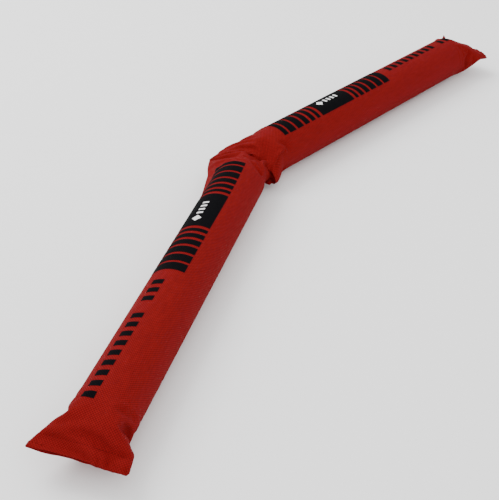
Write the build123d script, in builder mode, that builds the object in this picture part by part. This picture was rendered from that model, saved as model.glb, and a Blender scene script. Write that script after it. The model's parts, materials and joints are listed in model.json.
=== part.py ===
from build123d import *
from math import cos, pi, radians, sin
import os

# A soft training rod, about 1 m long when straight. One woven fabric tube holds two stiff round foam
# cores, one in each half. Between the cores the tube is empty and lies flat: this neck is the only
# place where the rod folds. Each outer end of the tube is pressed flat, folded in and sewn shut.
# Frame: +Z up, the rod lies on the plane Z = 0. The neck is bent sideways, so the left half runs
# towards -X and the right half towards +X, and both lean towards -Y. The origin is the middle of the
# whole rod's box, at its underside. Millimetres.

# Driving dimensions
tube_radius = 30.0  # outside of the sleeve over a core
rest_flat_depth = 0.15  # how far the underside is pressed flat by the floor
sleeve_wall = 0.8
core_clearance = 0.3
core_rounding = {"inner": 8.0, "outer": 16.0}  # of the edges at a core's ends
half_length = 495.0  # middle of the neck to the outer edge of a hem
neck_length = 85.0  # between the two cores
hem_depth = 14.0
hem_thickness = 3.2
flare_length = 28.0
bend_angle = 27.2  # sideways, between the two halves' axes
kink_offset = 6.0  # the bend lies this far from the middle, towards the right half
kink_y = 61.1  # puts the origin at the middle of the box

# The neck's two fabric halves overlap at the bend, one above the other
fold_setback = 3.0  # from a core's end to the line where the flat fabric folds
neck_layer = 1.5
neck_layer_gap = 0.4
neck_hub_radius = 33.0
neck_square_end = 16.0  # where the full width stops, short of the bend

# The print on top of each half. A solid block has six bars on either side of it.
print_centre = 157.0  # middle of the neck to the middle of the block
block_length = 66.0
bar_widths = (5.4, 7.2, 8.4, 10.8, 11.4, 12.0)  # from the block outwards
bar_gaps = (4.8, 4.5, 4.2, 3.9, 3.6, 3.3)
print_arc = 78.0
print_roll = {"left": 18.0, "right": -5.0}  # turn of the print's centre from the top, in degrees
ink_clearance = 0.03
ink_thickness = 0.15
ink_margin = 7.0  # least distance of a bar from the sleeve's inner end
dash_start = 287.0
dash_groups = (9, 3)
dash_pitch = 13.2
dash_width = 7.0
dash_arc = 24.0
mark_arc = 14.0
diamond_size = 8.0
diamond_inset = 18.0
tick_pitch = 7.0
tick_width = 3.0

# Sewing
seam_width = 8.0
seam_thickness = 0.7
seam_angle = {"left": 215.0, "right": -35.0}  # low on the +Y side, in the section plane
stitch_length = 3.2
stitch_width = 0.6
stitch_height = 0.3
stitch_clearance = 0.02
seam_stitch_pitch = 5.0
hem_stitch_pitch = 4.2
hem_stitch_inset = 5.0

# Worked out from the above
axis_height = tube_radius - rest_flat_depth
core_radius = tube_radius - sleeve_wall - core_clearance
flat_width = pi * tube_radius
core_start = neck_length / 2
hem_start = half_length - hem_depth
flare_start = hem_start - flare_length
half_bend = radians(bend_angle / 2)
outward = {
    "left": Vector(-cos(half_bend), -sin(half_bend), 0),
    "right": Vector(cos(half_bend), -sin(half_bend), 0),
}
shift = {"left": kink_offset, "right": -kink_offset}
kink_x = kink_offset * cos(half_bend)
kink = Vector(kink_x, kink_y, axis_height)
floor = Plane.XY


def across(side):
    """Level direction across a half, square to its axis."""
    return Vector(0, 0, 1).cross(outward[side])


def axis_point(side, distance):
    """Point on a half's axis, measured from the middle of the neck."""
    return kink + outward[side] * (distance + shift[side])


def section(side, distance):
    """Plane square to a half's axis: local x runs across, local y runs up."""
    return Plane(origin=axis_point(side, distance), x_dir=across(side), z_dir=outward[side])


def radial(side, angle):
    """Unit vector out of the axis at an angle in the section plane."""
    return across(side) * cos(radians(angle)) + Vector(0, 0, 1) * sin(radians(angle))


def surface(side, distance, angle, radius):
    """Plane touching a circle round the axis: local x runs along the half."""
    out = radial(side, angle)
    return Plane(origin=axis_point(side, distance) + out * radius, x_dir=outward[side], z_dir=out)


def save(piece, name):
    piece.part.label = name
    export_step(piece.part, f"parts/{name}.step")


def curved_strip(inner_radius, thickness, middle_angle, arc):
    """Outline of a thin strip that follows the tube, in a section plane's own x and y."""
    start = middle_angle - arc / 2
    with BuildSketch() as strip:
        with BuildLine():
            inner = CenterArc((0, 0), inner_radius, start, arc)
            outer = CenterArc((0, 0), inner_radius + thickness, start, arc)
            Line(inner @ 0, outer @ 0)
            Line(inner @ 1, outer @ 1)
        make_face()
    return strip.sketch


def make_foam_core(side):
    with BuildPart() as core:
        with BuildSketch(section(side, core_start)):
            Circle(core_radius)
        extrude(amount=flare_start - core_start)
        for end, radius in core_rounding.items():
            rims = core.edges().filter_by(GeomType.CIRCLE).sort_by(Axis(kink, outward[side]))
            fillet(rims[0 if end == "inner" else -1], radius=radius)
    save(core, f"{side}_foam_core")


def make_sleeve(side):
    with BuildPart() as sleeve:
        with BuildSketch(section(side, core_start)):
            Circle(tube_radius)
            Circle(core_radius + core_clearance, mode=Mode.SUBTRACT)
        extrude(amount=flare_start - core_start)
        split(bisect_by=floor, keep=Keep.TOP)
    save(sleeve, f"{side}_sleeve")


def make_end_flare(side):
    """Fabric from the round tube to the flat end, its outline keeping about one length all the way."""
    shapes = (
        (flare_start, tube_radius, tube_radius),
        (flare_start + flare_length / 2, tube_radius * 1.33, tube_radius * 0.57),
        (hem_start, tube_radius * 1.55, hem_thickness / 2),
    )
    with BuildPart() as flare:
        for inset, mode in ((0, Mode.ADD), (sleeve_wall, Mode.SUBTRACT)):
            for distance, half_width, half_height in shapes:
                with BuildSketch(section(side, distance)):
                    Ellipse(half_width - inset, half_height - inset)
            loft(mode=mode)
        split(bisect_by=floor, keep=Keep.TOP)
    save(flare, f"{side}_end_flare")


def make_end_hem(side):
    slit_depth = hem_depth * 0.4
    with BuildPart() as hem:
        with BuildSketch(section(side, hem_start)):
            SlotOverall(flat_width, hem_thickness)
        extrude(amount=hem_depth)
        with BuildSketch(section(side, half_length - slit_depth)):
            Rectangle(flat_width - 8, hem_thickness / 4)
        extrude(amount=slit_depth, mode=Mode.SUBTRACT)
    save(hem, f"{side}_end_hem")


def make_hem_stitches(side):
    count = int((flat_width - 10) / hem_stitch_pitch)
    height = hem_thickness / 2 + stitch_clearance
    with BuildPart() as stitches:
        for up in (1, -1):
            face = Plane(
                origin=axis_point(side, hem_start + hem_stitch_inset) + Vector(0, 0, up * height),
                x_dir=across(side),
                z_dir=(0, 0, up),
            )
            with Locations(face):
                with GridLocations(hem_stitch_pitch, 0, count, 1):
                    Box(
                        stitch_length,
                        stitch_width,
                        stitch_height,
                        align=(Align.CENTER, Align.CENTER, Align.MIN),
                    )
    save(stitches, f"{side}_hem_stitches")


def make_lap_seam(side):
    arc = seam_width / tube_radius * 180 / pi
    strip = curved_strip(tube_radius + ink_clearance, seam_thickness, seam_angle[side], arc)
    with BuildPart() as seam:
        with BuildSketch(section(side, core_start)):
            add(strip)
        extrude(amount=flare_start - core_start)
    save(seam, f"{side}_lap_seam")


def make_seam_stitches(side):
    length = flare_start - core_start
    top = tube_radius + ink_clearance + seam_thickness + stitch_clearance
    face = surface(side, core_start + length / 2, seam_angle[side], top)
    with BuildPart() as stitches:
        with Locations(face):
            with GridLocations(seam_stitch_pitch, 0, int(length / seam_stitch_pitch), 1):
                Box(
                    stitch_length,
                    stitch_width,
                    stitch_height,
                    align=(Align.CENTER, Align.CENTER, Align.MIN),
                )
    save(stitches, f"{side}_seam_stitches")


def ink_strip(side, arc, lift=0.0):
    """Outline of a film of ink round the middle of a half's print."""
    return curved_strip(tube_radius + ink_clearance + lift, ink_thickness, 90 + print_roll[side], arc)


def make_print_block(side):
    strip = ink_strip(side, print_arc)
    with BuildPart() as block:
        with BuildSketch(section(side, print_centre - block_length / 2)):
            add(strip)
        extrude(amount=block_length)
    save(block, f"{side}_print_block")


def make_bars(side, direction, name):
    """Six bars on one side of the block: direction is 1 outwards and -1 towards the neck.

    The bar nearest the neck is cut short where the round sleeve ends.
    """
    strip = ink_strip(side, print_arc)
    edge = print_centre + direction * block_length / 2
    with BuildPart() as bars:
        for width, gap in zip(bar_widths, bar_gaps):
            near = edge + direction * gap
            edge = max(near + direction * width, core_start + ink_margin)
            with BuildSketch(section(side, min(near, edge))):
                add(strip)
            extrude(amount=abs(edge - near))
    save(bars, f"{side}_{name}")


def make_block_mark(side):
    """Plain white diamond and four ticks, printed over the block."""
    lift = ink_thickness + ink_clearance
    strip = ink_strip(side, mark_arc, lift)
    reading = {"left": -1, "right": 1}[side]
    top = tube_radius + ink_clearance + lift
    face = surface(side, print_centre - reading * diamond_inset, 90 + print_roll[side], top)
    with BuildPart() as mark:
        with BuildSketch(face):
            Rectangle(diamond_size, diamond_size, rotation=45)
        extrude(amount=ink_thickness)
        for n in range(4):
            start = print_centre + reading * (n - 1) * tick_pitch - tick_width / 2
            with BuildSketch(section(side, start)):
                add(strip)
            extrude(amount=tick_width)
    save(mark, f"{side}_block_mark")


def make_title_dashes(side):
    """Row of plain dashes in two groups between the outer bars and the hem."""
    strip = ink_strip(side, dash_arc)
    last = sum(dash_groups)
    places = [n for n in range(last + 1) if n != dash_groups[0]]
    if side == "left":
        places = [last - n for n in places]
    with BuildPart() as dashes:
        for n in places:
            with BuildSketch(section(side, dash_start + n * dash_pitch)):
                add(strip)
            extrude(amount=dash_width)
    save(dashes, f"{side}_title_dashes")


def make_neck(side, lowest):
    """Flat fabric from the fold line at a core's end to a rounded end round the bend."""
    fold_distance = core_start - fold_setback + shift[side]
    plane = Plane(origin=(kink_x, kink_y, lowest), x_dir=outward[side], z_dir=(0, 0, 1))
    with BuildPart() as neck:
        with BuildSketch(plane):
            with Locations(((fold_distance + neck_square_end) / 2, 0)):
                RectangleRounded(fold_distance - neck_square_end, flat_width, 3)
            with Locations((fold_distance / 4, 0)):
                Rectangle(fold_distance / 2, neck_hub_radius * 2)
            Circle(neck_hub_radius)
        extrude(amount=neck_layer)
    save(neck, f"{side}_neck")


os.makedirs("parts", exist_ok=True)
for half in ("left", "right"):
    make_foam_core(half)
    make_sleeve(half)
    make_end_flare(half)
    make_end_hem(half)
    make_hem_stitches(half)
    make_lap_seam(half)
    make_seam_stitches(half)
    make_print_block(half)
    make_bars(half, -1, "inner_bars")
    make_bars(half, 1, "outer_bars")
    make_block_mark(half)
    make_title_dashes(half)
make_neck("left", axis_height - neck_layer_gap / 2 - neck_layer)
make_neck("right", axis_height + neck_layer_gap / 2)
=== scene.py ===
"""A soft training rod: two round foam cores in one long sleeve of coarse woven polyester. Between the
cores the sleeve is empty and lies flat, and there it is bent sideways. Each outer end is pressed flat,
folded in and sewn.

The sleeve is one grid of cloth. Its columns run round the tube and its rows run along it, from the
left hem to the right hem. "Along" is the distance along the cloth from the bend, negative on the left
half, and "turn" is the angle round the cloth from the middle of the print. The grid starts as a smooth
guess, is settled like cloth over the two cores, and is then cut into pieces. Metres and radians."""

import json
import math

import bpy
import numpy as np
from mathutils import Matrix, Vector


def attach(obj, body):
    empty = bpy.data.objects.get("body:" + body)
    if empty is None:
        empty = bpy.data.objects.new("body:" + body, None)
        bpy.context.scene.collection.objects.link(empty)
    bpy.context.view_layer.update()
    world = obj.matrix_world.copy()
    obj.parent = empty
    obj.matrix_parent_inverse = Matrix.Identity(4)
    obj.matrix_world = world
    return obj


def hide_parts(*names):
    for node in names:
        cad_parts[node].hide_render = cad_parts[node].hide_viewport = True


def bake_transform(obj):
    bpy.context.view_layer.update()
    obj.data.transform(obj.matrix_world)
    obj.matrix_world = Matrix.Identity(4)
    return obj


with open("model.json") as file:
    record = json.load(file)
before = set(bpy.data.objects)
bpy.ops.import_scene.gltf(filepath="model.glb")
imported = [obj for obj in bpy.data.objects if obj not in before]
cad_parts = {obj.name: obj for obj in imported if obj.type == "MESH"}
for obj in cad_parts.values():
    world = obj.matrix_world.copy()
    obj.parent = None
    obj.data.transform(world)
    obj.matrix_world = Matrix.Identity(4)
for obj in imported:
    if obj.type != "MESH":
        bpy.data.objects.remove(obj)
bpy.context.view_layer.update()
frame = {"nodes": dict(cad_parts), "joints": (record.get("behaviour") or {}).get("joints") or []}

# ---------------------------------------------------------------- layout, read from the frame
JOINTS = {joint["name"]: joint for joint in frame["joints"]}
BEND = np.array(JOINTS["neck_bend"]["pos_m"])
UP = np.array([0.0, 0.0, 1.0])
SIGN = {"left": -1.0, "right": 1.0}
TRAVEL = {side: np.cross(UP, JOINTS[f"{side}_fold"]["axis"]) for side in SIGN}
ACROSS = {side: np.cross(UP, TRAVEL[side]) for side in SIGN}


def on_axis(side, distance):
    """The point on a half's axis at a distance from the bend."""
    return BEND + TRAVEL[side] * SIGN[side] * distance


def node_places(node, side):
    """A node's points: distance from the bend, angle from the top towards +Y, distance from the axis."""
    points = np.array([vertex.co for vertex in frame["nodes"][node].data.vertices])
    offset = points - BEND
    distance = SIGN[side] * (offset @ TRAVEL[side])
    across = offset @ ACROSS[side]
    return distance, np.arctan2(across, offset[:, 2]), np.hypot(across, offset[:, 2])


def node_span(node, side):
    """Nearest and farthest distance of a node from the bend."""
    distance = node_places(node, side)[0]
    return distance.min(), distance.max()


PATCH_GAP = 0.0003  # printed patches of one node are further apart than this


def islands(node, side):
    """Each separate patch of a printed node, as its nearest and farthest distance and its two angles."""
    distance, angle, _ = node_places(node, side)
    found = []
    faces = [list(face.vertices) for face in frame["nodes"][node].data.polygons]
    for face in sorted(faces, key=lambda corners: distance[corners].min()):
        near, far = distance[face].min(), distance[face].max()
        first, last = angle[face].min(), angle[face].max()
        if found and near < found[-1][1] + PATCH_GAP:
            patch = found[-1]
            found[-1] = (patch[0], max(patch[1], far), min(patch[2], first), max(patch[3], last))
        else:
            found.append((near, far, first, last))
    return found


TUBE = node_places("left_sleeve", "left")[2].max()  # radius of the sleeve
FOAM = node_places("left_foam_core", "left")[2].max()  # radius of a core
CORE = {side: node_span(f"{side}_foam_core", side) for side in SIGN}
HEM_EDGE = {side: node_span(f"{side}_end_hem", side)[1] for side in SIGN}
HEM_DEPTH = HEM_EDGE["left"] - node_span("left_end_hem", "left")[0]
ROLL = {}  # angle from the top to the middle of the print, towards +Y
for side_name in SIGN:
    print_angles = node_places(f"{side_name}_print_block", side_name)[1]
    ROLL[side_name] = (print_angles.min() + print_angles.max()) / 2

# ---------------------------------------------------------------- the cloth's own dimensions
GIRTH = 2 * math.pi * TUBE
COLUMNS = 72
CELL = 2 * math.pi / COLUMNS  # radians between columns
STEP = TUBE * CELL  # metres between rows
NECK_SLACK = 0.50 * TUBE  # spare cloth in the neck, for each half
END_CLOTH = {"left": 1.8 * TUBE, "right": 1.62 * TUBE}  # from a core's outer end to the edge of the hem
END_FALL = {"left": 2.4, "right": 1.7}  # over 1: the end stays high and drops late
END_CLOSE = {"left": 3.0, "right": 2.0}  # how late an end takes the shape of its hem
RIM_RADIUS = {"inner": 0.30 * TUBE, "outer": 0.57 * TUBE}  # rounding of the cloth over a core's ends
CORE_SKIN = TUBE - FOAM  # the cloth's outer face stays this far out of the foam

FIRST = -(CORE["left"][1] + NECK_SLACK + END_CLOTH["left"])
LAST = CORE["right"][1] + NECK_SLACK + END_CLOTH["right"]
ROWS = int(round((LAST - FIRST) / STEP)) + 1
ALONG = np.linspace(FIRST, LAST, ROWS)


def smooth(t):
    """From 0 to 1, level at both ends."""
    t = np.clip(t, 0.0, 1.0)
    return t * t * (3 - 2 * t)


PRINT_TWIST = 2 * TUBE  # the print turns from one half's roll to the other's this far each side of the bend


def turn_of_top(along):
    """How far the middle of the print lies from the top, towards +Y."""
    share = smooth((along / PRINT_TWIST + 1) / 2)
    return ROLL["left"] * (1 - share) + ROLL["right"] * share


ARC_POINTS = 60
WIDEST = 2.0  # upper end of the searches for a width
HALVINGS = 40  # of the range searched


def outline(core, plus, minus):
    """Upper outline of cloth drawn round a core with an edge on either side, from the +Y edge."""
    bend = np.linspace(math.acos(core / plus), math.pi - math.acos(core / minus), ARC_POINTS)
    across = np.concatenate([[plus], core * np.cos(bend), [-minus]])
    height = np.concatenate([[0.0], core * np.sin(bend), [0.0]])
    length = np.concatenate([[0.0], np.cumsum(np.hypot(np.diff(across), np.diff(height)))])
    return across, height, length


def section(core, plus, minus, angle):
    """Across and up, in tube radii, of the points at given angles from the top, evenly round the girth."""
    across, height, length = outline(core, plus, minus)
    turn = (angle + math.pi / 2) % (2 * math.pi) - math.pi
    place = np.abs(turn) / math.pi * length[-1]
    upper = np.where(turn < 0, 1, -1)
    return np.interp(place, length, across), np.interp(place, length, height) * upper


def wing_reach(core):
    """Half the width of the tube when it is pressed flat round a core of that radius."""
    low, high = core, WIDEST
    for _ in range(HALVINGS):
        middle = (low + high) / 2
        low, high = (middle, high) if outline(core, middle, middle)[2][-1] < math.pi else (low, middle)
    return high


# ---------------------------------------------------------------- the first guess
FLAT_CORE = 0.07  # half the thickness of the flattened tube, as a share of its radius
COLUMN_TURN = np.arange(COLUMNS) * CELL
# The edge of each hem, in tube radii: reach of the +Y and -Y tips, height of its ripple and of the
# gap in its mouth, and its height over the axis from the -Y tip, evenly to the +Y tip
HEM_SHAPE = {
    "left": {"plus": 1.66, "minus": 1.38, "ripple": 0.05, "mouth": 0.06,
             "rise": (-0.21, -0.136, -0.083, -0.051, -0.040, -0.033, -0.010, 0.028, 0.08)},
    "right": {"plus": 1.34, "minus": 1.38, "ripple": 0.01, "mouth": 0.02,
              "rise": (-0.20, -0.05, 0.03, 0.02, -0.09, -0.18, -0.22, -0.17, 0.28)},
}
HEM_PRESSED = 0.5  # thickness of the hem's edge, as a share of the flattened tube's
RIPPLE_TURN = 4.4  # radians of the ripple's wave from the middle of a hem to a tip
RIPPLE_START = 0.6  # the wave's phase at the middle of a hem
MOUTH_PLACE = 0.62  # where the two lips gape, as a share of the way to the +Y tip
MOUTH_WIDTH = 0.24

KNEE = 0.45 * TUBE  # the flat cloth turns sideways this far to the left of the bend
INNER_SIDE = 0.8  # from here inwards, the inner side's thickness holds, in tube radii from the middle
ROLL_SIDE = 0.4  # and from here its edge's roll
FULL_ROLL = 0.25  # how far the inner edge reaches past the tube where it is rolled most
# The cloth between the cores, in tube radii. Each row: cloth from the left core's end; place on the
# path (0 the left core, 1 the knee, 2 the bend, 3 the right core) of the outer edge, and of the rest;
# half the thickness on the outer and on the inner side of the bend; reach of the outer and of the
# inner edge; height of the inner edge
NECK_SHAPE = np.array([
    [0.00, 0.00, 0.00, 1.00, 1.00, 1.42, 1.00, 0.00],
    [0.25, 0.20, 0.19, 0.95, 0.98, 1.47, 1.00, 0.00],
    [0.55, 0.45, 0.40, 0.74, 0.86, 1.52, 1.00, -0.02],
    [0.85, 0.72, 0.60, 0.62, 0.74, 1.54, 1.02, -0.10],
    [1.20, 0.98, 0.84, 0.60, 0.56, 1.54, 1.13, -0.22],
    [1.55, 1.30, 1.14, 0.60, 0.44, 1.52, 1.24, -0.36],
    [1.90, 1.60, 1.48, 0.64, 0.38, 1.51, 1.33, -0.44],
    [2.25, 1.88, 1.84, 0.70, 0.40, 1.51, 1.39, -0.47],
    [2.55, 2.15, 2.15, 0.78, 0.52, 1.46, 1.38, -0.42],
    [2.85, 2.40, 2.44, 0.84, 0.78, 1.37, 1.22, -0.24],
    [3.20, 2.66, 2.70, 0.92, 0.97, 1.25, 1.02, -0.02],
    [3.64, 3.00, 3.00, 1.00, 1.00, 1.07, 1.00, 0.00],
])
# Reach of the outer edge where the cloth is loose over a core: distance from the bend, reach
OUTER_REACH = {
    "left": np.array([[1.62, 1.42], [2.2, 1.32], [2.8, 1.21], [3.6, 1.08], [4.6, 1.0]]),
    "right": np.array([[1.22, 1.10], [2.2, 1.0]]),
}


def neck_row(along):
    """A row between the cores. The tube is flat there, creased outside the bend and rolled inside it."""
    share = (along + CORE["left"][0] + NECK_SLACK) / (CORE["left"][0] + CORE["right"][0] + 2 * NECK_SLACK)
    cloth = share * NECK_SHAPE[-1, 0]
    edge_place, rest_place, outer, inner, plus, minus, inner_rise = (
        np.interp(cloth, NECK_SHAPE[:, 0], NECK_SHAPE[:, i]) for i in range(1, 8)
    )
    angle = COLUMN_TURN + turn_of_top(along)
    outer_sideways, outer_height = section(outer, max(plus, outer), max(minus, outer), angle)
    inner_sideways, inner_height = section(inner, max(plus, inner), max(minus, inner), angle)
    power = 2 + np.clip((minus - 1) / FULL_ROLL, 0, 1)
    rolled = inner * np.sqrt(1 - np.clip(-inner_sideways / minus, 0, 1) ** power) * np.sign(inner_height)
    inner_height = inner_height + (rolled - inner_height) * smooth(-inner_sideways / ROLL_SIDE)
    inward = smooth(-outer_sideways / INNER_SIDE)
    sideways = outer_sideways * (1 - inward) + inner_sideways * inward
    height = outer_height * (1 - inward) + inner_height * inward
    height = height + inner_rise * np.clip(-sideways / minus, 0, 1) ** 2
    to_edge = smooth(sideways / plus)
    place = rest_place * (1 - to_edge) + edge_place * to_edge
    path = np.array([
        on_axis("left", CORE["left"][0]),
        BEND - TRAVEL["right"] * KNEE,
        BEND,
        on_axis("right", CORE["right"][0]),
    ])
    centre = np.stack([np.interp(place, range(4), path[:, i]) for i in range(3)], axis=1)
    swing = smooth(place - 1)[:, None]
    across = ACROSS["left"] * (1 - swing) + ACROSS["right"] * swing
    across = across / np.linalg.norm(across, axis=1, keepdims=True)
    return centre + TUBE * (sideways[:, None] * across + height[:, None] * UP)


def core_row(side, distance, angle):
    """A row over a core, loose towards the outer side of the bend near the neck."""
    plus = np.interp(distance / TUBE, OUTER_REACH[side][:, 0], OUTER_REACH[side][:, 1])
    sideways, height = section(1.0, plus, 1.0, angle)
    return on_axis(side, distance) + TUBE * (sideways[:, None] * ACROSS[side] + height[:, None] * UP)


def hem_edge(side, angle):
    """Across and up of the hem's edge, in tube radii."""
    shape = HEM_SHAPE[side]
    reach = wing_reach(FLAT_CORE)
    sideways, height = section(FLAT_CORE, reach, reach, angle)
    share = sideways / reach
    tilt = np.interp(share, np.linspace(-1, 1, len(shape["rise"])), shape["rise"])
    ripple = shape["ripple"] * np.sin(RIPPLE_TURN * share + RIPPLE_START)
    mouth = shape["mouth"] * np.exp(-(((share - MOUTH_PLACE) / MOUTH_WIDTH) ** 2)) * np.sign(height)
    width = np.where(share > 0, shape["plus"], shape["minus"])
    return share * width, HEM_PRESSED * height + tilt + ripple + mouth


def end_reach(side, core):
    """Reach of both edges of an end where its half thickness is core, keeping the girth."""
    shape = HEM_SHAPE[side]
    low, high = 0.0, WIDEST
    for _ in range(HALVINGS):
        middle = (low + high) / 2
        plus, minus = 1 + (shape["plus"] - 1) * middle, 1 + (shape["minus"] - 1) * middle
        low, high = (middle, high) if outline(core, plus, minus)[2][-1] < math.pi else (low, middle)
    return plus, minus


def end_row(side, distance):
    """A row past a core's outer end. distance is measured along the cloth."""
    share = (distance - CORE[side][1]) / END_CLOTH[side]
    angle = COLUMN_TURN + turn_of_top(SIGN[side] * distance)
    core = 1 - (1 - FLAT_CORE) * min(share, 1.0) ** END_FALL[side]
    sideways, height = section(core, *end_reach(side, core), angle)
    edge_sideways, edge_height = hem_edge(side, angle)
    close = smooth(share) ** END_CLOSE[side]
    sideways = sideways * (1 - close) + edge_sideways * close
    height = height * (1 - close) + edge_height * close
    place = CORE[side][1] + share * (HEM_EDGE[side] - CORE[side][1])
    return on_axis(side, place) + TUBE * (sideways[:, None] * ACROSS[side] + height[:, None] * UP)


def first_guess():
    """The grid of cloth before it is settled."""
    rows = []
    for along in ALONG:
        side = "left" if along < 0 else "right"
        distance = abs(along) - NECK_SLACK
        if distance < CORE[side][0]:
            rows.append(neck_row(along))
        elif distance > CORE[side][1]:
            rows.append(end_row(side, distance))
        else:
            rows.append(core_row(side, distance, COLUMN_TURN + turn_of_top(along)))
    return np.array(rows)


# ---------------------------------------------------------------- settling the cloth
MOST_LOOSE = 1.08  # the cloth's girth may be this much more than the tube's
SHEAR = 0.25  # stiffness of the diagonal links, where 1 is a link that keeps its length
BENDING = 0.06  # stiffness of the links to the next point but one
DAMPING = 0.12  # share of the speed that is lost in a time step
PASSES = 8  # rounds of link corrections in a time step
LAYER_GAP = 0.0022  # least height between the upper and the lower half of a row
FLOOR_GAP = 0.0006
HELD_ON_CORE = 0.6 * TUBE  # cloth this far over a core's outer end doesn't move
HELD_BY_NECK = 0.35 * TUBE  # the same over its inner end
SETTLED_OVER_CORE = 2 * TUBE  # how far over a core the settled rows begin
NECK_STEPS = 14
NECK_PINS = (0, 33, 34, 35, 36, 37, 38, 39)  # columns from the outer edge; half way round is the inner
END_INFLATE = 4.0e-6  # metres that the cloth is pushed outwards in a time step
END_STEPS = 30


def links(grid):
    """Groups of point pairs with their rest length and stiffness. No point is twice in a group."""
    rows = len(grid)
    index = np.arange(rows * COLUMNS).reshape(rows, COLUMNS)
    groups = []

    def add(first, second, rest, stiffness):
        lengths = np.broadcast_to(rest, first.shape).ravel()
        groups.append((first.ravel(), second.ravel(), lengths, stiffness))

    row_step = (LAST - FIRST) / (ROWS - 1)
    step = np.linalg.norm(np.roll(grid, -1, axis=1) - grid, axis=2).mean(axis=1)[:, None]
    step = np.clip(step, STEP, MOST_LOOSE * STEP)
    diagonal = math.hypot(row_step, STEP)
    for parity in (0, 1):
        upper = index[parity:-1:2]
        lower = index[parity + 1 :: 2]
        add(upper, lower, row_step, 1.0)
        add(upper, np.roll(lower, -1, axis=1), diagonal, SHEAR)
        add(upper, np.roll(lower, 1, axis=1), diagonal, SHEAR)
        around = np.roll(index, -parity, axis=1)
        add(around[:, 0::2], around[:, 1::2], step, 1.0)
    for parity in (0, 1):
        rows_now = [i for i in range(rows - 2) if i % 4 // 2 == parity]
        add(index[rows_now], index[np.array(rows_now) + 2], 2 * row_step, BENDING)
        around = np.roll(index, -2 * parity, axis=1)
        add(around[:, 0::4], around[:, 2::4], 2 * step, BENDING)
        add(around[:, 1::4], around[:, 3::4], 2 * step, BENDING)
    return groups


def clear_core(points, side):
    """Moves points that lie inside a core to its surface. The core's edges are rounded."""
    start, end = CORE[side]
    direction = TRAVEL[side] * SIGN[side]
    offset = points - BEND - direction * (start + end) / 2
    along = offset @ direction
    radial = offset - along[:, None] * direction
    radius = np.linalg.norm(radial, axis=1) + 1e-9
    rim = np.where(along > 0, RIM_RADIUS["outer"], RIM_RADIUS["inner"])
    past_side = radius - (FOAM + CORE_SKIN - rim)
    past_end = np.abs(along) - ((end - start) / 2 + CORE_SKIN - rim)
    outside = np.hypot(np.maximum(past_side, 0), np.maximum(past_end, 0))
    depth = rim - outside - np.minimum(np.maximum(past_side, past_end), 0)
    by_side = np.where(outside > 0, np.maximum(past_side, 0) / (outside + 1e-12), past_side > past_end)
    by_end = np.where(outside > 0, np.maximum(past_end, 0) / (outside + 1e-12), past_side <= past_end)
    push = radial / radius[:, None] * by_side[:, None]
    push += np.sign(along)[:, None] * direction * by_end[:, None]
    return points + push * np.maximum(depth, 0)[:, None]


def plus_edge(along):
    """The column that lies at the +Y edge of a row."""
    return int(round((math.pi / 2 - turn_of_top(along)) / CELL))


def part_layers(points, rows, along):
    """Keeps the upper half of each row above the point of the lower half that lies under it."""
    grid = points.reshape(rows, COLUMNS, 3)
    for row in range(rows):
        edge = plus_edge(along[row])
        upper = (edge - np.arange(1, COLUMNS // 2)) % COLUMNS
        lower = (edge + np.arange(1, COLUMNS // 2)) % COLUMNS
        short = LAYER_GAP - (grid[row, upper, 2] - grid[row, lower, 2])
        short = np.maximum(short, 0) / 2
        grid[row, upper, 2] += short
        grid[row, lower, 2] -= short


def settle(grid, along, held, inflate, steps):
    """The grid's points after they have settled as cloth that hardly stretches."""
    rows = len(grid)
    points = grid.reshape(-1, 3).copy()
    before = points.copy()
    free = (~held).reshape(-1).astype(float)
    groups = []
    for first, second, rest, stiffness in links(grid):
        moving = (free[first] + free[second]) > 0
        groups.append((first[moving], second[moving], rest[moving], stiffness))
    for _ in range(steps):
        speed = (points - before) * (1 - DAMPING)
        before = points.copy()
        shape = points.reshape(rows, COLUMNS, 3)
        outward = np.cross(np.gradient(shape, axis=0), np.roll(shape, -1, 1) - np.roll(shape, 1, 1))
        outward /= np.linalg.norm(outward, axis=2, keepdims=True) + 1e-12
        points = points + free[:, None] * (speed + inflate * outward.reshape(-1, 3))
        for _ in range(PASSES):
            for first, second, rest, stiffness in groups:
                gap = points[second] - points[first]
                length = np.sqrt(np.einsum("ij,ij->i", gap, gap)) + 1e-12
                share = stiffness * (length - rest) / (length * (free[first] + free[second]))
                move = gap * share[:, None]
                points[first] += free[first, None] * move
                points[second] -= free[second, None] * move
        for side in SIGN:
            points = np.where(free[:, None] > 0, clear_core(points, side), points)
        part_layers(points, rows, along)
        points[:, 2] = np.maximum(points[:, 2], FLOOR_GAP)
        points = np.where(free[:, None] > 0, points, grid.reshape(-1, 3))
    return points.reshape(grid.shape)


def settle_stretch(grid, low, high, held_rows, steps, inflate=0.0, pins=()):
    """Settles the rows from low to high in place.

    held_rows says which rows stay where they are. The columns in pins stay too, counted from the +Y edge."""
    rows = np.flatnonzero((ALONG >= low) & (ALONG <= high))
    part = grid[rows[0] : rows[-1] + 1]
    held = np.repeat(held_rows(ALONG[rows])[:, None], COLUMNS, axis=1)
    for row, along in enumerate(ALONG[rows]):
        held[row, (plus_edge(along) + np.array(pins, int)) % COLUMNS] = True
    grid[rows[0] : rows[-1] + 1] = settle(part, ALONG[rows], held, inflate, steps)


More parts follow.
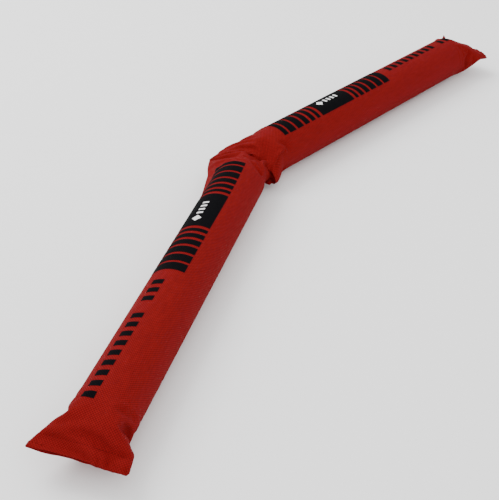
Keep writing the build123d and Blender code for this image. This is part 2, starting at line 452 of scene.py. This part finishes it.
def make_cover():
    """The whole sleeve, settled over the two cores."""
    grid = first_guess()
    near = -(CORE["left"][0] + NECK_SLACK)
    far = CORE["right"][0] + NECK_SLACK
    settle_stretch(
        grid,
        near - SETTLED_OVER_CORE,
        far + SETTLED_OVER_CORE,
        lambda along: (along < near - HELD_BY_NECK) | (along > far + HELD_BY_NECK),
        NECK_STEPS,
        pins=NECK_PINS,
    )
    for side in SIGN:
        start = CORE[side][1] + NECK_SLACK
        edge = start + END_CLOTH[side]
        low, high = sorted((SIGN[side] * (start - SETTLED_OVER_CORE), SIGN[side] * (edge + STEP)))
        settle_stretch(
            grid,
            low,
            high,
            lambda along: (np.abs(along) < start - HELD_ON_CORE) | (np.abs(along) > edge - STEP / 2),
            END_STEPS,
            inflate=END_INFLATE,
        )
    grid[..., 2] = np.maximum(grid[..., 2], 0)
    return grid


COVER = make_cover()


# ---------------------------------------------------------------- reading the settled cloth
def cubic_weights(t):
    """Catmull-Rom weights of four points in a row, t of the way from the second to the third."""
    return np.stack(
        [
            -0.5 * t + t**2 - 0.5 * t**3,
            1 - 2.5 * t**2 + 1.5 * t**3,
            0.5 * t + 2 * t**2 - 1.5 * t**3,
            -0.5 * t**2 + 0.5 * t**3,
        ]
    )


def cover_points(along, turn):
    """Points of the cloth at any place along and round it, by smooth interpolation."""
    row = np.clip((along - FIRST) / (LAST - FIRST) * (ROWS - 1), 0, ROWS - 1)
    base_row = np.minimum(row.astype(int), ROWS - 2)
    column = (turn / CELL) % COLUMNS
    base_column = np.floor(column).astype(int)
    row_weights = cubic_weights(row - base_row)
    column_weights = cubic_weights(column - base_column)
    total = np.zeros(along.shape + (3,))
    for i in range(4):
        picked_row = np.clip(base_row + i - 1, 0, ROWS - 1)
        for j in range(4):
            weight = row_weights[i] * column_weights[j]
            total += weight[..., None] * COVER[picked_row, (base_column + j - 1) % COLUMNS]
    return total


def cover(along, turn, lift=0.0):
    """Points of the cloth, lifted off it along its outward normal."""
    along, turn = np.broadcast_arrays(np.asarray(along, float), np.asarray(turn, float))
    points = cover_points(along, turn)
    small = STEP / 4
    low = np.clip(along - small, FIRST, LAST)
    high = np.clip(along + small, FIRST, LAST)
    by_row = cover_points(high, turn) - cover_points(low, turn)
    by_column = cover_points(along, turn + small / TUBE) - cover_points(along, turn - small / TUBE)
    normal = np.cross(by_row, by_column)
    normal /= np.linalg.norm(normal, axis=-1, keepdims=True) + 1e-12
    return points + np.asarray(lift)[..., None] * normal


# ---------------------------------------------------------------- mesh making
CLOTH_MAP = "cloth"
CLOTH_THICKNESS = 0.0008
CRISP_EDGE = math.radians(60)
INK_SPACING = 0.0022
INK_LIFT = 0.00022
INK_THICKNESS = 0.00015
STITCH_LENGTH = 0.0032
STITCH_WIDTH = 0.0007
STITCH_HEIGHT = 0.0004
FINE_COLUMNS = 108  # round the finished sleeve
BEAD_RINGS = 3
BEAD_SPOKES = 6


def new_piece(name, points, faces, cloth_places=None):
    """A new object. cloth_places are its points' places along and round the cloth, for the weave."""
    mesh = bpy.data.meshes.new(name)
    mesh.from_pydata([tuple(point) for point in points], [], faces)
    mesh.polygons.foreach_set("use_smooth", [True] * len(mesh.polygons))
    if cloth_places is not None:
        layer = mesh.uv_layers.new(name=CLOTH_MAP)
        corners = cloth_places[np.array(faces)]
        wraps = np.ptp(corners[..., 1], axis=1)[:, None] > GIRTH / 2
        corners[..., 1] += GIRTH * (wraps & (corners[..., 1] < GIRTH / 2))
        layer.data.foreach_set("uv", corners.astype(np.float32).ravel())
    mesh.update()
    piece = bpy.data.objects.new(name, mesh)
    bpy.context.scene.collection.objects.link(piece)
    return piece


def grid_faces(rows, columns, closed):
    """Faces of a grid of points, which may close round its columns."""
    faces = []
    for row in range(rows - 1):
        for column in range(columns if closed else columns - 1):
            after = (column + 1) % columns
            low, high = row * columns, (row + 1) * columns
            faces.append((low + column, high + column, high + after, low + after))
    return faces


def on_cloth(along, turn, lift=0.0):
    """Points of the cloth as a list, and their places along and round it, for the weave."""
    places = np.stack([along.ravel(), TUBE * turn.ravel()], axis=1)
    return cover(along, turn, lift).reshape(-1, 3), places


def thicken(piece, thickness, offset):
    """Gives a piece thickness, with its cut edges kept crisp."""
    solid = piece.modifiers.new("thickness", "SOLIDIFY")
    solid.thickness = thickness
    solid.offset = offset
    split = piece.modifiers.new("crisp edges", "EDGE_SPLIT")
    split.split_angle = CRISP_EDGE
    return piece


def sleeve_stretch(name, start, end, spacing):
    """A closed stretch of the sleeve between two places along the cloth."""
    rows = max(2, int(math.ceil(abs(end - start) / spacing)) + 1)
    turn = np.arange(FINE_COLUMNS) * 2 * math.pi / FINE_COLUMNS
    low, high = sorted((start, end))
    along_grid, turn_grid = np.meshgrid(np.linspace(low, high, rows), turn, indexing="ij")
    points, places = on_cloth(along_grid, turn_grid)
    piece = new_piece(name, points, grid_faces(rows, FINE_COLUMNS, True), places)
    return thicken(piece, CLOTH_THICKNESS, -1.0)


def facing_out(faces, side, base=0):
    """Faces of a grid whose rows run away from the bend, turned so that they face outwards."""
    step = 1 if SIGN[side] > 0 else -1
    return [tuple(base + corner for corner in face)[::step] for face in faces]


def printed(name, side, patches, lift, diamond=False):
    """One piece of thin print, made of separate patches: bands, or diamonds."""
    points, faces, places = [], [], []
    for near, far, first, last in patches:
        rows = max(3, int((far - near) / INK_SPACING) + 1)
        columns = max(3, int((last - first) * TUBE / INK_SPACING) + 1)
        if diamond:
            columns = rows
            across, down = np.meshgrid(np.linspace(0, 1, rows), np.linspace(0, 1, rows), indexing="ij")
            distance = near + (far - near) * (across + down) / 2
            angle = first + (last - first) * (1 + across - down) / 2
        else:
            distance, angle = np.meshgrid(
                near + (far - near) * np.linspace(0, 1, rows),
                first + (last - first) * np.linspace(0, 1, columns),
                indexing="ij",
            )
        along = SIGN[side] * (distance + NECK_SLACK)
        turn = angle - ROLL[side]
        base = len(points)
        patch_points, patch_places = on_cloth(along, turn, lift)
        points.extend(patch_points)
        places.extend(patch_places)
        faces.extend(facing_out(grid_faces(rows, columns, False), side, base))
    piece = new_piece(name, points, faces, np.array(places))
    return thicken(piece, INK_THICKNESS, 0.0)


def bead(centre, direction, out, length, width, height):
    """Points and faces of one short stitch: a low, rounded bead."""
    side = np.cross(out, direction)
    points, faces = [], []
    for ring in range(1, BEAD_RINGS + 1):
        slide = -math.cos(math.pi * ring / (BEAD_RINGS + 1))
        swell = math.sin(math.pi * ring / (BEAD_RINGS + 1))
        for spoke in range(BEAD_SPOKES):
            angle = 2 * math.pi * spoke / BEAD_SPOKES
            offset = direction * slide * length / 2
            offset = offset + side * math.cos(angle) * swell * width / 2
            offset = offset + out * math.sin(angle) * swell * height
            points.append(centre + offset)
    start_tip = len(points)
    end_tip = start_tip + 1
    last_ring = start_tip - BEAD_SPOKES
    points.append(centre - direction * length / 2)
    points.append(centre + direction * length / 2)
    for low in range(0, last_ring, BEAD_SPOKES):
        high = low + BEAD_SPOKES
        for spoke in range(BEAD_SPOKES):
            after = (spoke + 1) % BEAD_SPOKES
            faces.append((low + spoke, low + after, high + after, high + spoke))
    for spoke in range(BEAD_SPOKES):
        after = (spoke + 1) % BEAD_SPOKES
        faces.append((start_tip, after, spoke))
        faces.append((end_tip, last_ring + spoke, last_ring + after))
    return points, faces


def stitches(name, along, turn, run_turn, lift):
    """Beads at the given places on the cloth. run_turn says whether they run round the tube."""
    centres = cover(along, turn, lift)
    small = STEP / 2
    ahead = cover(along, turn + small / TUBE, lift) if run_turn else cover(along + small, turn, lift)
    outer = cover(along, turn, lift + small)
    points, faces = [], []
    for centre, next_point, out_point in zip(centres, ahead, outer):
        direction = (next_point - centre) / np.linalg.norm(next_point - centre)
        out = (out_point - centre) / np.linalg.norm(out_point - centre)
        new_points, new_faces = bead(centre, direction, out, STITCH_LENGTH, STITCH_WIDTH, STITCH_HEIGHT)
        base = len(points)
        points.extend(new_points)
        faces.extend(tuple(base + corner for corner in face) for face in new_faces)
    return new_piece(name, points, faces)


# ---------------------------------------------------------------- materials
WEAVE_PITCH = GIRTH / 144  # an even number of threads, so that the weave meets itself
THREAD_PITCH = 0.0004
# Each cloth's colour runs from low to high. It is low in the weave's hollows, where shade is painted, and in
# its random darker patches.
RED_LOW = (0.072, 0.0023, 0.0027)
RED_HIGH = (0.235, 0.0079, 0.0090)
BLACK_LOW = (0.001, 0.001, 0.0015)
BLACK_HIGH = (0.004, 0.004, 0.005)
WHITE_LOW = (0.62, 0.60, 0.60)
WHITE_HIGH = (0.85, 0.85, 0.85)
THREAD_LOW = (0.10, 0.0035, 0.0035)
THREAD_HIGH = (0.28, 0.0100, 0.0110)
FOAM_LOW = (0.03, 0.03, 0.032)
FOAM_HIGH = (0.07, 0.07, 0.075)
# Painted shade: this share of the colour's ups and downs follows the weave's height, so its hollows are
# coloured darker
WEAVE_SHADE_SHARE = 0.55  # of the weave's height in the colour's ups and downs
PATCHY_SHARE = 0.35
FUZZY_SHARE = 0.30
PATCHY_SCALE = 35.0
FUZZY_SCALE = 900.0
ROUGH_FUZZ = 0.2
RAMP_START = 0.2
FOAM_CELLS = 700.0
FOAM_RAMP_END = 0.6


def new_material(name):
    material = bpy.data.materials.new(name)
    material.use_nodes = True
    tree = material.node_tree
    return material, tree.nodes, tree.links, tree.nodes["Principled BSDF"]


def maths(nodes, wires, operation, first, second=None):
    """Output of a maths node. Each input is a number or another node's output."""
    node = nodes.new("ShaderNodeMath")
    node.operation = operation
    for socket, value in zip(node.inputs, (first, second)):
        if value is None:
            continue
        if isinstance(value, (int, float)):
            socket.default_value = value
        else:
            wires.new(value, socket)
    return node.outputs[0]


def weave_height(nodes, wires, pitch):
    """Height of a plain weave, from 0 to 1, in the cloth's own coordinates."""
    places = nodes.new("ShaderNodeUVMap")
    places.uv_map = CLOTH_MAP
    split = nodes.new("ShaderNodeSeparateXYZ")
    wires.new(places.outputs[0], split.inputs[0])
    waves = []
    for socket in split.outputs[:2]:
        angle = maths(nodes, wires, "MULTIPLY", socket, math.pi / pitch)
        waves.append(maths(nodes, wires, "SINE", angle))
    product = maths(nodes, wires, "MULTIPLY", waves[0], waves[1])
    half = maths(nodes, wires, "MULTIPLY", product, 0.5)
    return maths(nodes, wires, "ADD", half, 0.5)


def noise(nodes, scale, detail):
    """Cloudy values between 0 and 1."""
    node = nodes.new("ShaderNodeTexNoise")
    node.inputs["Scale"].default_value = scale
    node.inputs["Detail"].default_value = detail
    return node.outputs["Fac"]


def ramp(nodes, wires, value, stops):
    """Colour for a value, between two stops. Each stop is a value and its colour."""
    node = nodes.new("ShaderNodeValToRGB")
    elements = node.color_ramp.elements
    for element, (place, colour) in zip(elements, stops):
        element.position = place
        element.color = (*colour, 1.0)
    wires.new(value, node.inputs[0])
    return node.outputs[0]


def bump(nodes, wires, height, distance, strength, shader):
    """Relief in the surface. distance is the relief's depth where height is 1."""
    node = nodes.new("ShaderNodeBump")
    node.inputs["Distance"].default_value = distance
    node.inputs["Strength"].default_value = strength
    wires.new(height, node.inputs["Height"])
    wires.new(node.outputs[0], shader.inputs["Normal"])


def woven(name, low, high, rough, relief, pitch=WEAVE_PITCH, shine=0.04):
    """Coarse cloth: threads cross in a plain weave, with uneven colour from place to place and painted shade
    in the weave's hollows.
    """
    material, nodes, wires, shader = new_material(name)
    height = weave_height(nodes, wires, pitch)
    fuzzy = noise(nodes, FUZZY_SCALE, detail=2.0)
    patchy = noise(nodes, PATCHY_SCALE, detail=3.0)
    # Painted shade in the weave's hollows: the colour follows the weave's height
    weave_shade = maths(nodes, wires, "MULTIPLY", height, WEAVE_SHADE_SHARE)
    uneven = maths(nodes, wires, "MULTIPLY", patchy, PATCHY_SHARE)
    fine = maths(nodes, wires, "MULTIPLY", fuzzy, FUZZY_SHARE)
    value = maths(nodes, wires, "ADD", maths(nodes, wires, "ADD", weave_shade, uneven), fine)
    tint = ramp(nodes, wires, value, ((RAMP_START, low), (1.0, high)))
    wires.new(tint, shader.inputs["Base Color"])
    roughness = maths(nodes, wires, "ADD", maths(nodes, wires, "MULTIPLY", fuzzy, ROUGH_FUZZ), rough)
    wires.new(roughness, shader.inputs["Roughness"])
    shader.inputs["Specular IOR Level"].default_value = shine
    bump(nodes, wires, height, distance=relief, strength=1.0, shader=shader)
    return material


def foam_material():
    """Closed cells in dark foam."""
    material, nodes, wires, shader = new_material("closed_cell_foam")
    cells = nodes.new("ShaderNodeTexVoronoi")
    cells.inputs["Scale"].default_value = FOAM_CELLS
    tint = ramp(nodes, wires, cells.outputs["Distance"], ((0.0, FOAM_LOW), (FOAM_RAMP_END, FOAM_HIGH)))
    wires.new(tint, shader.inputs["Base Color"])
    shader.inputs["Roughness"].default_value = 0.9
    bump(nodes, wires, cells.outputs["Distance"], distance=0.0004, strength=0.8, shader=shader)
    return material


fabric = woven("woven_polyester_red", RED_LOW, RED_HIGH, rough=0.75, relief=0.0004)
hem_fabric = woven("folded_hem_red", RED_LOW, RED_HIGH, rough=0.75, relief=0.0004)
black_ink = woven("black_print", BLACK_LOW, BLACK_HIGH, rough=0.8, relief=0.0002, shine=0.03)
white_ink = woven("white_print", WHITE_LOW, WHITE_HIGH, rough=0.5, relief=0.0002)
thread = woven("sewing_thread", THREAD_LOW, THREAD_HIGH, rough=0.7, relief=0.0001, pitch=THREAD_PITCH)
foam = foam_material()


def finish_piece(piece, material, body=None, replaced=()):
    """Gives a piece its material and slot and its body, and hides the CAD nodes that it stands for."""
    piece.data.materials.append(material)
    if body:
        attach(piece, body)
    if replaced:
        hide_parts(*replaced)
    return piece


# ---------------------------------------------------------------- the two halves
HEM_THICKNESS = 0.0024
HEM_LAYER = HEM_THICKNESS / 4  # half the thickness of each of the hem's two folded edges
HEM_THIN = 0.3  # a folded edge starts at this share of its thickness
HEM_SWELL = 0.5  # and has all of it from this share of the way to the lip
HEM_PROFILE = np.array([0.0, 0.15, 0.3, 0.5, 0.75, 1.0])  # rows of a folded edge: 0 inner edge, 1 lip
HEM_STITCH_PITCH = 0.0042
HEM_STITCH_INSET = 0.005
SEAM_WIDTH = 0.008
SEAM_HEIGHT = 0.0007
SEAM_SUNK = 0.0001  # the seam's edges lie this far into the cloth
SEAM_ROWS = 90
SEAM_COLUMNS = 13
SEAM_FLATNESS = 8  # the higher, the nearer to its edges the strip falls
SEAM_STITCH_PITCH = 0.005
SLEEVE_SPACING = 0.004
FLARE_SPACING = 0.0015
FLARE_OVERLAP = 0.65 * TUBE  # the end's cloth starts this far inside, where the tube is still straight
FLARE_UNDER_HEM = 0.002


def body_of(side):
    """Name of the body that carries a half's core."""
    return f"{side}_half"


def printing(side):
    """The black block, its bars, the dashes and the white mark of one half."""
    made = []
    for node in ("print_block", "inner_bars", "outer_bars", "title_dashes"):
        name = f"{side}_{node}"
        piece = printed(f"{name}_ink", side, islands(name, side), INK_LIFT)
        made.append(finish_piece(piece, black_ink, body_of(side), [name]))
    mark = f"{side}_block_mark"
    patches = islands(mark, side)
    widest = max(patches, key=lambda patch: patch[1] - patch[0])
    others = [patch for patch in patches if patch is not widest]
    ticks = printed(f"{mark}_ticks_ink", side, others, 2 * INK_LIFT)
    diamond = printed(f"{mark}_diamond_ink", side, [widest], 2 * INK_LIFT, diamond=True)
    made.append(finish_piece(ticks, white_ink, body_of(side), [mark]))
    made.append(finish_piece(diamond, white_ink, body_of(side), [mark]))
    return made


def hem_band(side):
    """The folded and sewn edge: a thick band with a rounded lip, round the whole mouth."""
    edge = SIGN[side] * (CORE[side][1] + NECK_SLACK + END_CLOTH[side])
    columns = 2 * COLUMNS
    flat_inset = HEM_DEPTH * (1 - HEM_PROFILE) + HEM_LAYER * HEM_PROFILE
    flat_lift = HEM_LAYER * (HEM_THIN + (1 - HEM_THIN) * smooth(HEM_PROFILE / HEM_SWELL))
    lip = math.pi * np.arange(1, 4) / 4
    inset = np.concatenate([flat_inset, HEM_LAYER * (1 - np.sin(lip)), flat_inset[::-1]])
    lift = np.concatenate([flat_lift, HEM_LAYER * np.cos(lip), -flat_lift[::-1]])
    turn = np.arange(columns) * 2 * math.pi / columns
    along, turn_grid = np.meshgrid(edge - SIGN[side] * inset, turn, indexing="ij")
    points, places = on_cloth(along, turn_grid, np.repeat(lift[:, None], columns, axis=1))
    rows = len(inset)
    faces = grid_faces(rows, columns, True)
    last = (rows - 1) * columns
    for column in range(columns):
        after = (column + 1) % columns
        faces.append((last + column, column, after, last + after))
    return new_piece(f"{side}_hem_band", points, facing_out(faces, side), places)


def half_rod(side):
    """Everything on one half, except the neck."""
    sign, body = SIGN[side], body_of(side)
    edge = CORE[side][1] + NECK_SLACK + END_CLOTH[side]
    band = edge - HEM_DEPTH
    start = sign * (CORE[side][0] + NECK_SLACK)
    sleeve_end = sign * (node_span(f"{side}_sleeve", side)[1] - FLARE_OVERLAP + NECK_SLACK)
    flare_end = sign * (band + FLARE_UNDER_HEM)
    sleeve = sleeve_stretch(f"{side}_sleeve_cloth", start, sleeve_end, SLEEVE_SPACING)
    flare = sleeve_stretch(f"{side}_end_flare_cloth", sleeve_end, flare_end, FLARE_SPACING)
    hem = hem_band(side)
    around = np.arange(0, 2 * math.pi, HEM_STITCH_PITCH / TUBE)
    sewn_along = np.full(around.shape, sign * (edge - HEM_STITCH_INSET))
    hem_sewing = stitches(f"{side}_hem_thread", sewn_along, around, True, HEM_LAYER)
    finish_piece(sleeve, fabric, body, [f"{side}_sleeve"])
    finish_piece(flare, fabric, body, [f"{side}_end_flare"])
    finish_piece(hem, hem_fabric, body, [f"{side}_end_hem"])
    finish_piece(hem_sewing, thread, body, [f"{side}_hem_stitches"])
    seam = lap_seam(side)
    ink = printing(side)
    foam_core = frame["nodes"][f"{side}_foam_core"]
    foam_core.data.materials.clear()
    foam_core.data.materials.append(foam)


def lap_seam(side):
    """The lengthwise seam low on the +Y side: a raised strip with two rows of stitches."""
    name = f"{side}_lap_seam"
    near, far = node_span(name, side)
    angle = node_places(name, side)[1]
    turn = (angle.min() + angle.max()) / 2 - ROLL[side]
    along = SIGN[side] * (np.linspace(near, far, SEAM_ROWS) + NECK_SLACK)
    width = np.linspace(-1, 1, SEAM_COLUMNS)
    along_grid, width_grid = np.meshgrid(np.sort(along), width, indexing="ij")
    lift = SEAM_HEIGHT * (1 - width_grid**SEAM_FLATNESS) - SEAM_SUNK
    turn_grid = turn + width_grid * SEAM_WIDTH / 2 / TUBE
    points, places = on_cloth(along_grid, turn_grid, lift)
    strip = new_piece(f"{name}_cloth", points, grid_faces(*along_grid.shape, False), places)
    places_along = np.arange(near + SEAM_STITCH_PITCH, far - SEAM_STITCH_PITCH / 2, SEAM_STITCH_PITCH)
    sewn_along = np.tile(SIGN[side] * (places_along + NECK_SLACK), 2)
    sewn_turn = np.repeat([turn - SEAM_WIDTH / 4 / TUBE, turn + SEAM_WIDTH / 4 / TUBE], len(places_along))
    sewing = stitches(f"{side}_seam_thread", sewn_along, sewn_turn, False, SEAM_HEIGHT)
    finish_piece(strip, fabric, body_of(side), [name])
    finish_piece(sewing, thread, body_of(side), [f"{side}_seam_stitches"])
    return [strip, sewing]


# ---------------------------------------------------------------- the neck
NECK_SPACING = 0.0016
RING_EDGE = 0.60  # the neck's middle piece starts at this share


def neck():
    """Three rings of empty sleeve: one over each side fold, and one over the sideways bend."""
    edges = {side: SIGN[side] * RING_EDGE * (CORE[side][0] + NECK_SLACK) for side in SIGN}
    for side in SIGN:
        start = SIGN[side] * (CORE[side][0] + NECK_SLACK)
        ring = sleeve_stretch(f"{side}_neck_fold_cloth", start, edges[side], NECK_SPACING)
        finish_piece(ring, fabric)
        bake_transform(ring)
    middle = sleeve_stretch("neck_bend_cloth", edges["left"], edges["right"], NECK_SPACING)
    finish_piece(middle, fabric, None, ["left_neck", "right_neck"])
    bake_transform(middle)


for side_name in SIGN:
    half_rod(side_name)
neck()

# ---------------------------------------------------------------- floor, light and camera
FLOOR_SIZE = 12.0
FLOOR_DROP = 0.0002
FLOOR_LOW = (0.93, 0.93, 0.93)
FLOOR_HIGH = (0.96, 0.96, 0.96)
WORLD_STRENGTH = 1.5
KEY_POWER = 34.0  # watts
FILL_POWER = 8.0
CAMERA_BACK = 0.9589  # level distance from the bend's upright to the camera
CAMERA_HEIGHT = 0.5902
CAMERA_AZIMUTH = math.radians(-60.0)
CAMERA_PITCH = math.radians(36.1)
CAMERA_SIDE = math.radians(-0.17)  # the bend's upright stands this far off the camera's heading
CAMERA_LENS = 63.36


def floor():
    """A pale floor, just under the object."""
    half = FLOOR_SIZE / 2
    corners = [(-half, -half), (half, -half), (half, half), (-half, half)]
    mesh = bpy.data.meshes.new("floor")
    mesh.from_pydata([(x, y, -FLOOR_DROP) for x, y in corners], [], [(0, 1, 2, 3)])
    piece = bpy.data.objects.new("floor", mesh)
    bpy.context.scene.collection.objects.link(piece)
    material, nodes, wires, shader = new_material("pale_floor")
    cloudy = noise(nodes, scale=2.0, detail=2.0)
    tint = ramp(nodes, wires, cloudy, ((0.0, FLOOR_LOW), (1.0, FLOOR_HIGH)))
    wires.new(tint, shader.inputs["Base Color"])
    shader.inputs["Roughness"].default_value = 0.9
    mesh.materials.append(material)


def area_light(name, place, size, power):
    """A square lamp that faces the frame's origin."""
    data = bpy.data.lights.new(name, "AREA")
    data.size = size
    data.energy = power
    light = bpy.data.objects.new(name, data)
    light.location = place
    light.rotation_mode = "QUATERNION"
    light.rotation_quaternion = (-Vector(place)).to_track_quat("-Z", "Y")
    bpy.context.scene.collection.objects.link(light)


def studio():
    """An even white surround, and two large soft lamps."""
    world = bpy.data.worlds.new("studio")
    world.use_nodes = True
    background = world.node_tree.nodes["Background"]
    background.inputs["Color"].default_value = (1.0, 1.0, 1.0, 1.0)
    background.inputs["Strength"].default_value = WORLD_STRENGTH
    bpy.context.scene.world = world
    area_light("key", place=(0.1, 1.3, 1.7), size=1.2, power=KEY_POWER)
    area_light("fill", place=(-1.2, -1.2, 1.5), size=1.6, power=FILL_POWER)


def camera():
    """The camera, placed round the bend so that the view matches the photo's."""
    data = bpy.data.cameras.new("camera")
    data.sensor_width = 36.0
    data.lens = CAMERA_LENS
    made = bpy.data.objects.new("camera", data)
    to_bend = CAMERA_AZIMUTH + CAMERA_SIDE
    place = BEND[:2] - CAMERA_BACK * np.array([-math.sin(to_bend), math.cos(to_bend)])
    made.location = (place[0], place[1], CAMERA_HEIGHT)
    level = math.cos(CAMERA_PITCH)
    look = (-math.sin(CAMERA_AZIMUTH) * level, math.cos(CAMERA_AZIMUTH) * level, -math.sin(CAMERA_PITCH))
    made.rotation_mode = "QUATERNION"
    made.rotation_quaternion = Vector(look).to_track_quat("-Z", "Y")
    bpy.context.scene.collection.objects.link(made)
    bpy.context.scene.camera = made


floor()
studio()
camera()
